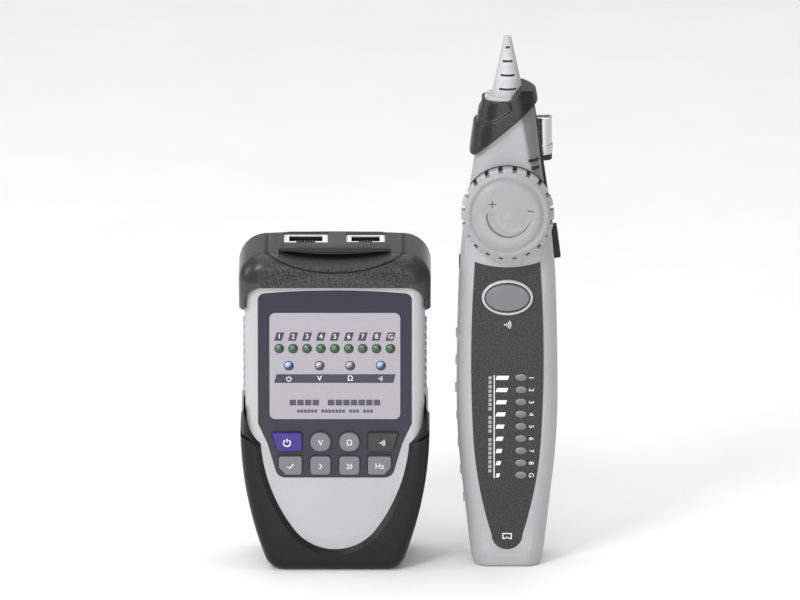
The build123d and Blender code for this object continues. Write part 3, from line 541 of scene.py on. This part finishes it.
def lathe(mesh, profile, count=32):
    """Adds a turned form about -Y from (radius, height) pairs, and returns its vertices."""
    rings = []
    for radius, height in profile:
        if radius == 0:
            rings.append([mesh.verts.new((0, -height, 0))])
        else:
            rings.append([mesh.verts.new((x, -height, z)) for x, z in circle(0, 0, radius, count)])
    for low, high in zip(rings, rings[1:]):
        for i in range(count):
            j = (i + 1) % count
            corners = [low[i % len(low)], low[j % len(low)], high[j % len(high)], high[i % len(high)]]
            mesh.faces.new(list(dict.fromkeys(corners)))
    return [vertex for ring in rings for vertex in ring]


def stroke(mesh, points, width, y):
    """Adds a flat ribbon of even width along points in X and Z."""
    left, right = [], []
    for i, point in enumerate(points):
        ahead = Vector(points[min(i + 1, len(points) - 1)]) - Vector(points[max(i - 1, 0)])
        side = Vector((-ahead.y, ahead.x)).normalized() * width / 2
        left.append(tuple(Vector(point) + side))
        right.append(tuple(Vector(point) - side))
    plate(mesh, left + right[::-1], y - PRINT, y)


def arc(x, z, radius, start, stop, steps=14):
    turns = [math.radians(start + (stop - start) * i / steps) for i in range(steps + 1)]
    return [(x + radius * math.cos(turn), z + radius * math.sin(turn)) for turn in turns]


def sign(name, text, size, x, z, y, body, look="ink_white", turn=0.0, weight=0.0):
    """Single generic character or unit, printed on a face that looks along -Y."""
    curve = bpy.data.curves.new(name, "FONT")
    curve.body = text
    curve.size = size * MM
    curve.align_x = "CENTER"
    curve.align_y = "CENTER"
    curve.extrude = PRINT * MM / 2
    curve.offset = weight * MM
    setter = bpy.data.objects.new(name + "_setter", curve)
    bpy.context.scene.collection.objects.link(setter)
    mesh = bmesh.new()
    mesh.from_mesh(setter.evaluated_get(bpy.context.evaluated_depsgraph_get()).to_mesh())
    bpy.data.objects.remove(setter)
    bmesh.ops.remove_doubles(mesh, verts=mesh.verts, dist=0.001 * MM)
    stand = Matrix.Rotation(math.radians(90), 4, "X")
    spin = Matrix.Rotation(math.radians(turn), 4, "Y")
    mesh.transform(Matrix.Translation((x, y, z)) @ spin @ stand @ Matrix.Scale(1 / MM, 4))
    return add(name, mesh, body, look)


# ---------------------------------------------------------------- marks on the tester
WINDOW_Y = edge("display_window", 1, 0)
KEYS = [name for name in NODES if name.endswith("_key") and name != "scan_key"]
LAMPS = middle("line_leds")
LAMP_SEAT = 3.6           # width of one lamp with its seat, mm
LAMP_PITCH = (edge("line_leds", 0, 1) - edge("line_leds", 0, 0) - LAMP_SEAT) / 8
STATUS = middle("status_leds")
STATUS_SPAN = edge("status_leds", 0, 1) - edge("status_leds", 0, 0) - LAMP_SEAT


def power_mark(mesh, x, z, size, y):
    stroke(mesh, arc(x, z, size, 125, 415), 0.32 * size, y)
    stroke(mesh, [(x, z + 0.2 * size), (x, z + 1.25 * size)], 0.32 * size, y)


def wave_mark(mesh, x, z, size, y):
    """Three arcs that spread from a dot."""
    plate(mesh, circle(x - 1.1 * size, z, 0.22 * size, 16), y - PRINT, y)
    for radius in (0.7, 1.25, 1.8):
        stroke(mesh, arc(x - 1.1 * size, z, radius * size, -42, 42), 0.24 * size, y)


def tick_mark(mesh, x, z, size, y):
    corners = [(x - size, z), (x - 0.3 * size, z - 0.7 * size), (x + size, z + 0.8 * size)]
    stroke(mesh, corners, 0.34 * size, y)


def chevrons(mesh, x, z, size, y, count):
    for i in range(count):
        start = x + size * (0.9 * i - 0.45 * (count - 1) - 0.3)
        corners = [(start, z + 0.8 * size), (start + 0.7 * size, z), (start, z - 0.8 * size)]
        stroke(mesh, corners, 0.3 * size, y)


def number_tags():
    """Slanted dark tags over the line lamps, each with its figure."""
    tags = bmesh.new()
    z = LAMPS.z + 4.5
    for i, figure in enumerate("12345678G"):
        x = LAMPS.x + LAMP_PITCH * (i - 4)
        plate(tags, parallelogram(x, z, 2.75, 3.1, 0.9), WINDOW_Y - PRINT, WINDOW_Y)
        sign(f"tag_figure_{i + 1}", figure, 2.5, x, z, WINDOW_Y - PRINT, TESTER)
    add("number_tags", tags, TESTER, "ink_dark")


def status_bar():
    """Dark slanted strip under the status lamps with a sign under each."""
    y = WINDOW_Y
    z = STATUS.z - 4.8
    bar = bmesh.new()
    plate(bar, parallelogram(0, z, 42.8, 3.2, 0.9), y - PRINT, y)
    add("status_bar", bar, TESTER, "ink_dark")
    y -= PRINT
    marks = bmesh.new()
    places = [STATUS.x + STATUS_SPAN * (i / 3 - 0.5) for i in range(4)]
    power_mark(marks, places[0], z - 0.1, 0.85, y)
    wave_mark(marks, places[3], z, 0.75, y)
    add("status_marks", marks, TESTER, "ink_white")
    sign("status_volt", "V", 2.7, places[1], z, y, TESTER, weight=0.03)
    sign("status_ohm", "\u03a9", 2.7, places[2], z, y, TESTER, weight=0.03)


def title_blocks():
    """Two rows of blank blocks where the window carries its title."""
    blocks = bmesh.new()
    rows = ((12, (4,), 2.75, 63.0, 2.3, 2.1), (22, (6, 14, 18), 1.25, 59.8, 0.95, 1.1))
    for count, gaps, pitch, z, width, height in rows:
        for i in range(count):
            if i not in gaps:
                x = (i - (count - 1) / 2) * pitch
                plate(blocks, parallelogram(x, z, width, height), WINDOW_Y - PRINT, WINDOW_Y)
    add("title_blocks", blocks, TESTER, "ink_grey")


def lamp_domes(name, places, look, radius=1.5):
    """Round lamp ends: a dark seat and a clear dome."""
    domes = bmesh.new()
    rise = 0.95
    turns = [math.pi / 2 * k / 7 for k in range(1, 7)]
    profile = [(radius, -3.0), (radius, 0.0)]
    profile += [(radius * math.cos(turn), rise * math.sin(turn)) for turn in turns]
    profile += [(0, rise)]
    for x, z in places:
        made = lathe(domes, profile)
        bmesh.ops.translate(domes, verts=made, vec=(x, WINDOW_Y, z))
    piece = add(name, domes, TESTER, look)
    weld_and_smooth(piece)
    return piece


def lamp_rim_shadows(places):
    rims = bmesh.new()
    for x, z in places:
        # Dark rings round the lamps: painted shadow where the lamps sit in their seats.
        frame_plate(rims, circle(x, z, 1.78), circle(x, z, 1.46), WINDOW_Y - 0.09, WINDOW_Y + 0.02)
    add("lamp_rim_shadows", rims, TESTER, "ink_dark")


def display():
    line = [(LAMPS.x + LAMP_PITCH * (i - 4), LAMPS.z) for i in range(9)]
    status = [(STATUS.x + STATUS_SPAN * (i / 3 - 0.5), STATUS.z) for i in range(4)]
    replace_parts(lamp_domes("line_lamp_domes", line, "led_green"), "line_leds")
    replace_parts(lamp_domes("status_lamps_blue", status[::3], "led_blue"), "status_leds")
    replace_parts(lamp_domes("status_lamps_clear", status[1:3], "led_clear"), "status_leds")
    lamp_rim_shadows(line + status)
    number_tags()
    status_bar()
    title_blocks()


def key_gap_shadows():
    """Black plates that show through the gaps round the keys, a little deeper above each key: painted
    shadow.
    """
    gap_shadow_plates = bmesh.new()
    y = edge("tester_face_panel", 1, 0)
    flange, gap, lean, cut = 0.7, 0.34, 2.2, 3.0
    for key in KEYS:
        low, high = (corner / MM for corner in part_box(key))
        left, right = low.x + flange - gap, high.x - flange + gap
        foot, top = low.z + flange - gap, high.z - flange + gap + 0.16
        points = [(left, foot), (right, foot), (right, top), (left, top)]
        radius = 1.5
        if key == "power_key":
            points[0] = (left + lean, foot)
        elif key == "scan_mode_key":
            points[1] = (right - lean, foot)
        elif key == "test_key":
            points[:1] = [(left, foot + cut), (left + cut, foot)]
        elif key == "hertz_key":
            points[1:2] = [(right - cut, foot), (right, foot + cut)]
        elif key in ("volt_key", "ohm_key"):
            radius = 3.5
        if key in ("power_key", "scan_mode_key", "test_key", "hertz_key"):
            radius = 0.9
        plate(gap_shadow_plates, rounded(points, radius), y - 0.05, y)
    add("key_gap_shadows", gap_shadow_plates, TESTER, "ink_black")


def key_marks():
    """White signs on the keys; each rides on its own key."""
    def face(key):
        place = middle(key)
        return place.x, place.z - 0.2, edge(key, 1, 0)

    def drawn(key, painter, size, *extra):
        x, z, y = face(key)
        mesh = bmesh.new()
        painter(mesh, x, z, size, y, *extra)
        add(key + "_mark", mesh, key, "ink_white")

    drawn("power_key", power_mark, 1.25)
    drawn("scan_mode_key", wave_mark, 0.95)
    drawn("test_key", tick_mark, 1.1)
    drawn("slow_key", chevrons, 1.2, 1)
    drawn("fast_key", chevrons, 1.2, 2)
    for key, text, size in (("volt_key", "V", 2.9), ("ohm_key", "\u03a9", 2.9), ("hertz_key", "Hz", 2.9)):
        x, z, y = face(key)
        sign(key + "_mark", text, size, x, z, y, key)


def jack_contacts():
    """Sprung gold wires on the back wall of each socket."""
    wires = bmesh.new()
    top = edge("rj45_socket", 2, 1) - 1.2
    for socket, count in (("rj45_socket", 8), ("rj11_socket", 6)):
        place = middle(socket)
        for i in range(count):
            x = place.x + 1.02 * (i - (count - 1) / 2)
            wire = [(x - 0.2, top - 9.0), (x + 0.2, top - 9.0), (x + 0.2, top), (x - 0.2, top)]
            count_before = len(wires.verts)
            plate(wires, wire, place.y + 2.6, place.y + 3.0)
            wires.verts.ensure_lookup_table()
            for vertex in wires.verts[count_before:]:
                vertex.co.y += 0.16 * (vertex.co.z - top)
    add("jack_contacts", wires, TESTER, "gold")


# ---------------------------------------------------------------- marks on the probe
LABEL_Y = edge("probe_label", 1, 0)
PIPES = middle("probe_leds")
PIPE_PITCH = (edge("probe_leds", 2, 1) - edge("probe_leds", 2, 0) - 2.7) / 8


def probe_figures():
    """Figures beside the light pipes, laid on their side as the pipes run."""
    for i, figure in enumerate("12345678G"):
        z = PIPES.z + PIPE_PITCH * (4 - i)
        sign(f"pipe_figure_{i + 1}", figure, 2.5, PIPES.x + 3.6, z, LABEL_Y, PROBE, turn=90)


def level_scale():
    """Thin rule with bars that shorten towards the foot, and a row of blank blocks."""
    scale = bmesh.new()
    top = PIPES.z + 4 * PIPE_PITCH
    x = middle("probe_label").x - 4.7
    plate(scale, parallelogram(x, PIPES.z, 0.35, 8 * PIPE_PITCH + 2), LABEL_Y - PRINT, LABEL_Y)
    for i in range(9):
        length = 4.4 - 0.4 * i
        bar = parallelogram(x + 0.75 + length / 2, top - PIPE_PITCH * i, length, 1.5, 0.5)
        plate(scale, bar, LABEL_Y - PRINT, LABEL_Y)
    add("level_scale", scale, PROBE, "ink_white")
    blocks = bmesh.new()
    for i in range(22):
        if i not in (8, 13):
            plate(blocks, parallelogram(x - 1.5, top - 1.66 * i, 1.1, 1.15), LABEL_Y - PRINT, LABEL_Y)
    add("side_blocks", blocks, PROBE, "ink_pale")


def label_signs():
    x = middle("probe_label").x
    marks = bmesh.new()
    wave_mark(marks, x + 0.4, edge("scan_key_bezel", 2, 0) - 3.6, 1.2, LABEL_Y)
    foot = edge("probe_label", 2, 0) + 5.0
    outer = parallelogram(x, foot, 3.4, 2.2)
    inner = parallelogram(x, foot, 2.7, 1.5)
    frame_plate(marks, outer, inner, LABEL_Y - PRINT, LABEL_Y)
    plate(marks, parallelogram(x, foot - 0.75, 1.1, 0.75), LABEL_Y - PRINT, LABEL_Y)
    add("label_signs", marks, PROBE, "ink_white")


# ---------------------------------------------------------------- pieces round the probe's neck
KNOB = next(joint for joint in frame["record"]["behaviour"]["joints"] if joint["name"] == "knob_turn")
NECK = ((116.0, 16.6, 13.6, 6.4), (136.0, 13.9, 11.2, 6.2), (154.0, 11.3, 9.2, 6.2), (172.0, 8.4, 7.6, 5.6))


def neck_section(z):
    """Half width, front depth and corner radius of the neck at a height."""
    for low, high in zip(NECK, NECK[1:]):
        if low[0] <= z <= high[0]:
            share = (z - low[0]) / (high[0] - low[0])
            return [a + share * (b - a) for a, b in zip(low[1:], high[1:])]
    raise ValueError(z)


def neck_front(x, z):
    """Y of the neck's front surface at a place beside its centre line."""
    half, front, radius = neck_section(z)
    past = max(0.0, abs(x) - (half - radius))
    return -front + radius - math.sqrt(max(radius ** 2 - past ** 2, 0.0))


def neck_slot_shadows():
    """Black bands standing for the slots on the right-hand facet of the neck: painted shade inside them."""
    slots = bmesh.new()
    centre = middle("probe_tip").x
    steps = 8
    for z, start, stop in ((162.9, 5.6, 9.0), (150.8, 7.6, 11.2), (148.0, 8.8, 11.4)):
        rows = []
        for level, lift in ((z - 0.5, 0.3), (z - 0.5, -0.08), (z + 0.5, -0.08), (z + 0.5, 0.3)):
            places = [start + (stop - start) * i / steps for i in range(steps + 1)]
            rows.append([slots.verts.new((centre + x, neck_front(x, level) + lift, level)) for x in places])
        for first, second in zip(rows, rows[1:] + rows[:1]):
            for i in range(steps):
                slots.faces.new((first[i], first[i + 1], second[i + 1], second[i]))
        for i in (0, steps):
            slots.faces.new([row[i] for row in rows])
    add("neck_slot_shadows", slots, PROBE, "ink_black")


def neck_strip():
    """Dark sealing strip down the neck's right side, where the lamp is held."""
    strip = bmesh.new()
    centre = middle("probe_tip").x
    levels = [124 + 4 * i for i in range(13)]
    outer = [(centre + neck_section(z)[0] + 0.8, z) for z in levels]
    inner = [(centre + neck_section(z)[0] - 0.5, z) for z in reversed(levels)]
    plate(strip, outer + inner, -0.6, 3.4)
    add("neck_strip", strip, PROBE, "dark_plastic")


def knob_shadow():
    """Black disc behind the dial, a little wider than it: painted shadow, seen through the notches of its
    rim and round its edge.
    """
    seat = bmesh.new()
    radius = edge("sensitivity_knob", 0, 1) - middle("sensitivity_knob").x + 0.35
    loop = [(max(-13.6, min(13.6, x)), z) for x, z in circle(0, 0, radius, 64)]
    plate(seat, loop, -0.12, 0.05)
    lean = math.atan2(KNOB["axis"][2], -KNOB["axis"][1])
    seat.transform(Matrix.Rotation(-lean, 4, "X"))
    seat.transform(Matrix.Translation(Vector(KNOB["pos_m"]) / MM))
    add("knob_shadow_seat", seat, PROBE, "ink_black")


def knob_marks():
    """Painted shade in the dial's engraved plus, minus and arc, at the foot of the engraving."""
    marks = bmesh.new()
    foot = -8.85
    for x, z, width, height in ((-5.5, 4.2, 2.6, 0.4), (-5.5, 4.2, 0.4, 2.6), (8.3, 1.7, 2.4, 0.4)):
        plate(marks, parallelogram(x, z, width, height), foot - 0.03, foot + 0.05)
    sweep = arc(0.29, 0.17, 8.06, 178, 356, 36)
    inner = arc(0.5, 0.3, 7.7, 356, 178, 36)
    plate(marks, sweep + inner, foot - 0.03, foot + 0.05)
    lean = math.atan2(KNOB["axis"][2], -KNOB["axis"][1])
    marks.transform(Matrix.Rotation(-lean, 4, "X"))
    marks.transform(Matrix.Translation(Vector(KNOB["pos_m"]) / MM))
    add("knob_marks", marks, "knob", "ink_shade")


def lamp_ring():
    """Bright turned ring at the lamp's mouth."""
    ring = bmesh.new()
    place = middle("lamp_barrel")
    top = edge("lamp_barrel", 2, 1)
    radius, tube, count, steps = 2.75, 0.42, 40, 10
    rings = []
    for i in range(count):
        turn = 2 * math.pi * i / count
        loop = []
        for k in range(steps):
            sweep = 2 * math.pi * k / steps
            reach = radius + tube * math.cos(sweep)
            loop.append(ring.verts.new((place.x + reach * math.cos(turn), place.y + reach * math.sin(turn),
                                        top - 0.1 + 0.3 * math.sin(sweep))))
        rings.append(loop)
    for first, second in zip(rings, rings[1:] + rings[:1]):
        for k in range(steps):
            m = (k + 1) % steps
            ring.faces.new((first[k], first[m], second[m], second[k]))
    weld_and_smooth(add("lamp_mouth_ring", ring, PROBE, "chrome_bright"))


def soft_copy(node, name, voxel_mm, rounds, look):
    """Stands for a rubber node, with its edges rounded off."""
    data = NODES[node].data.copy()
    piece = bpy.data.objects.new(name, data)
    bpy.context.scene.collection.objects.link(piece)
    weld_seams(piece)
    remesh = piece.modifiers.new("remesh", "REMESH")
    remesh.mode = "VOXEL"
    remesh.voxel_size = voxel_mm * MM
    relax = piece.modifiers.new("relax", "SMOOTH")
    relax.factor = 0.5
    relax.iterations = rounds
    graph = bpy.context.evaluated_depsgraph_get()
    solid = bpy.data.meshes.new_from_object(piece.evaluated_get(graph))
    piece.modifiers.clear()
    piece.data = solid
    solid.materials.clear()
    solid.materials.append(LOOKS[look])
    solid.polygons.foreach_set("use_smooth", [True] * len(solid.polygons))
    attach(piece, PROBE if node.startswith("probe") else TESTER)
    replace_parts(piece, node)


dress_frame()
display()
key_gap_shadows()
key_marks()
jack_contacts()
neck_slot_shadows()
neck_strip()
knob_shadow()
knob_marks()
lamp_ring()
soft_copy("probe_collar", "collar_rubber", 0.28, 14, "collar_rubber")
probe_figures()
level_scale()
label_signs()

# ---------------------------------------------------------------- studio
def studio():
    floor = bpy.data.meshes.new("floor")
    size = 3.0
    corners = [(-size, -size, 0), (size, -size, 0), (size, size, 0), (-size, size, 0)]
    floor.from_pydata(corners, [], [(0, 1, 2, 3)])
    ground = bpy.data.objects.new("floor", floor)
    bpy.context.scene.collection.objects.link(ground)
    look = Shader("floor", (0.86, 0.86, 0.86), 0.7)
    look.paint(look.mix(look.ramp(look.noise(60.0), 0.3, 0.7), (0.85, 0.85, 0.85), (0.87, 0.87, 0.87)))
    floor.materials.append(look.material)

    world = bpy.data.worlds.new("studio")
    world.use_nodes = True
    world.node_tree.nodes["Background"].inputs["Color"].default_value = (1.0, 1.0, 1.0, 1.0)
    world.node_tree.nodes["Background"].inputs["Strength"].default_value = 0.45
    bpy.context.scene.world = world

    centre = (CAD_BOX[0] + CAD_BOX[1]) / 2
    lights = (
        ("key", (-0.55, -0.80, 0.75), 0.35, 7.5),
        ("front", (0.10, -1.30, 0.25), 0.9, 6.0),
        ("side", (-0.90, -0.10, 0.30), 0.4, 2.0),
        ("top", (0.0, 0.25, 1.30), 1.6, 14.0),
    )
    for name, offset, size, power in lights:
        data = bpy.data.lights.new(name, "AREA")
        data.shape = "SQUARE"
        data.size = size
        data.energy = power
        piece = bpy.data.objects.new(name, data)
        piece.location = centre + Vector(offset)
        piece.rotation_euler = (centre - piece.location).to_track_quat("-Z", "Y").to_euler()
        bpy.context.scene.collection.objects.link(piece)


def camera():
    elevation = math.radians(16.0)
    lens, sensor, width = 800.0, 36.0, 0.288
    distance = width / sensor * lens
    aim = Vector((0.0234, 0.0, 0.0963))
    data = bpy.data.cameras.new("camera")
    data.lens = lens
    data.sensor_width = sensor
    piece = bpy.data.objects.new("camera", data)
    away = Vector((0, -math.cos(elevation), math.sin(elevation)))
    piece.location = aim + away * distance
    piece.rotation_euler = (-away).to_track_quat("-Z", "Y").to_euler()
    bpy.context.scene.collection.objects.link(piece)
    bpy.context.scene.camera = piece


studio()
camera()
bpy.context.scene.view_settings.view_transform = "Standard"
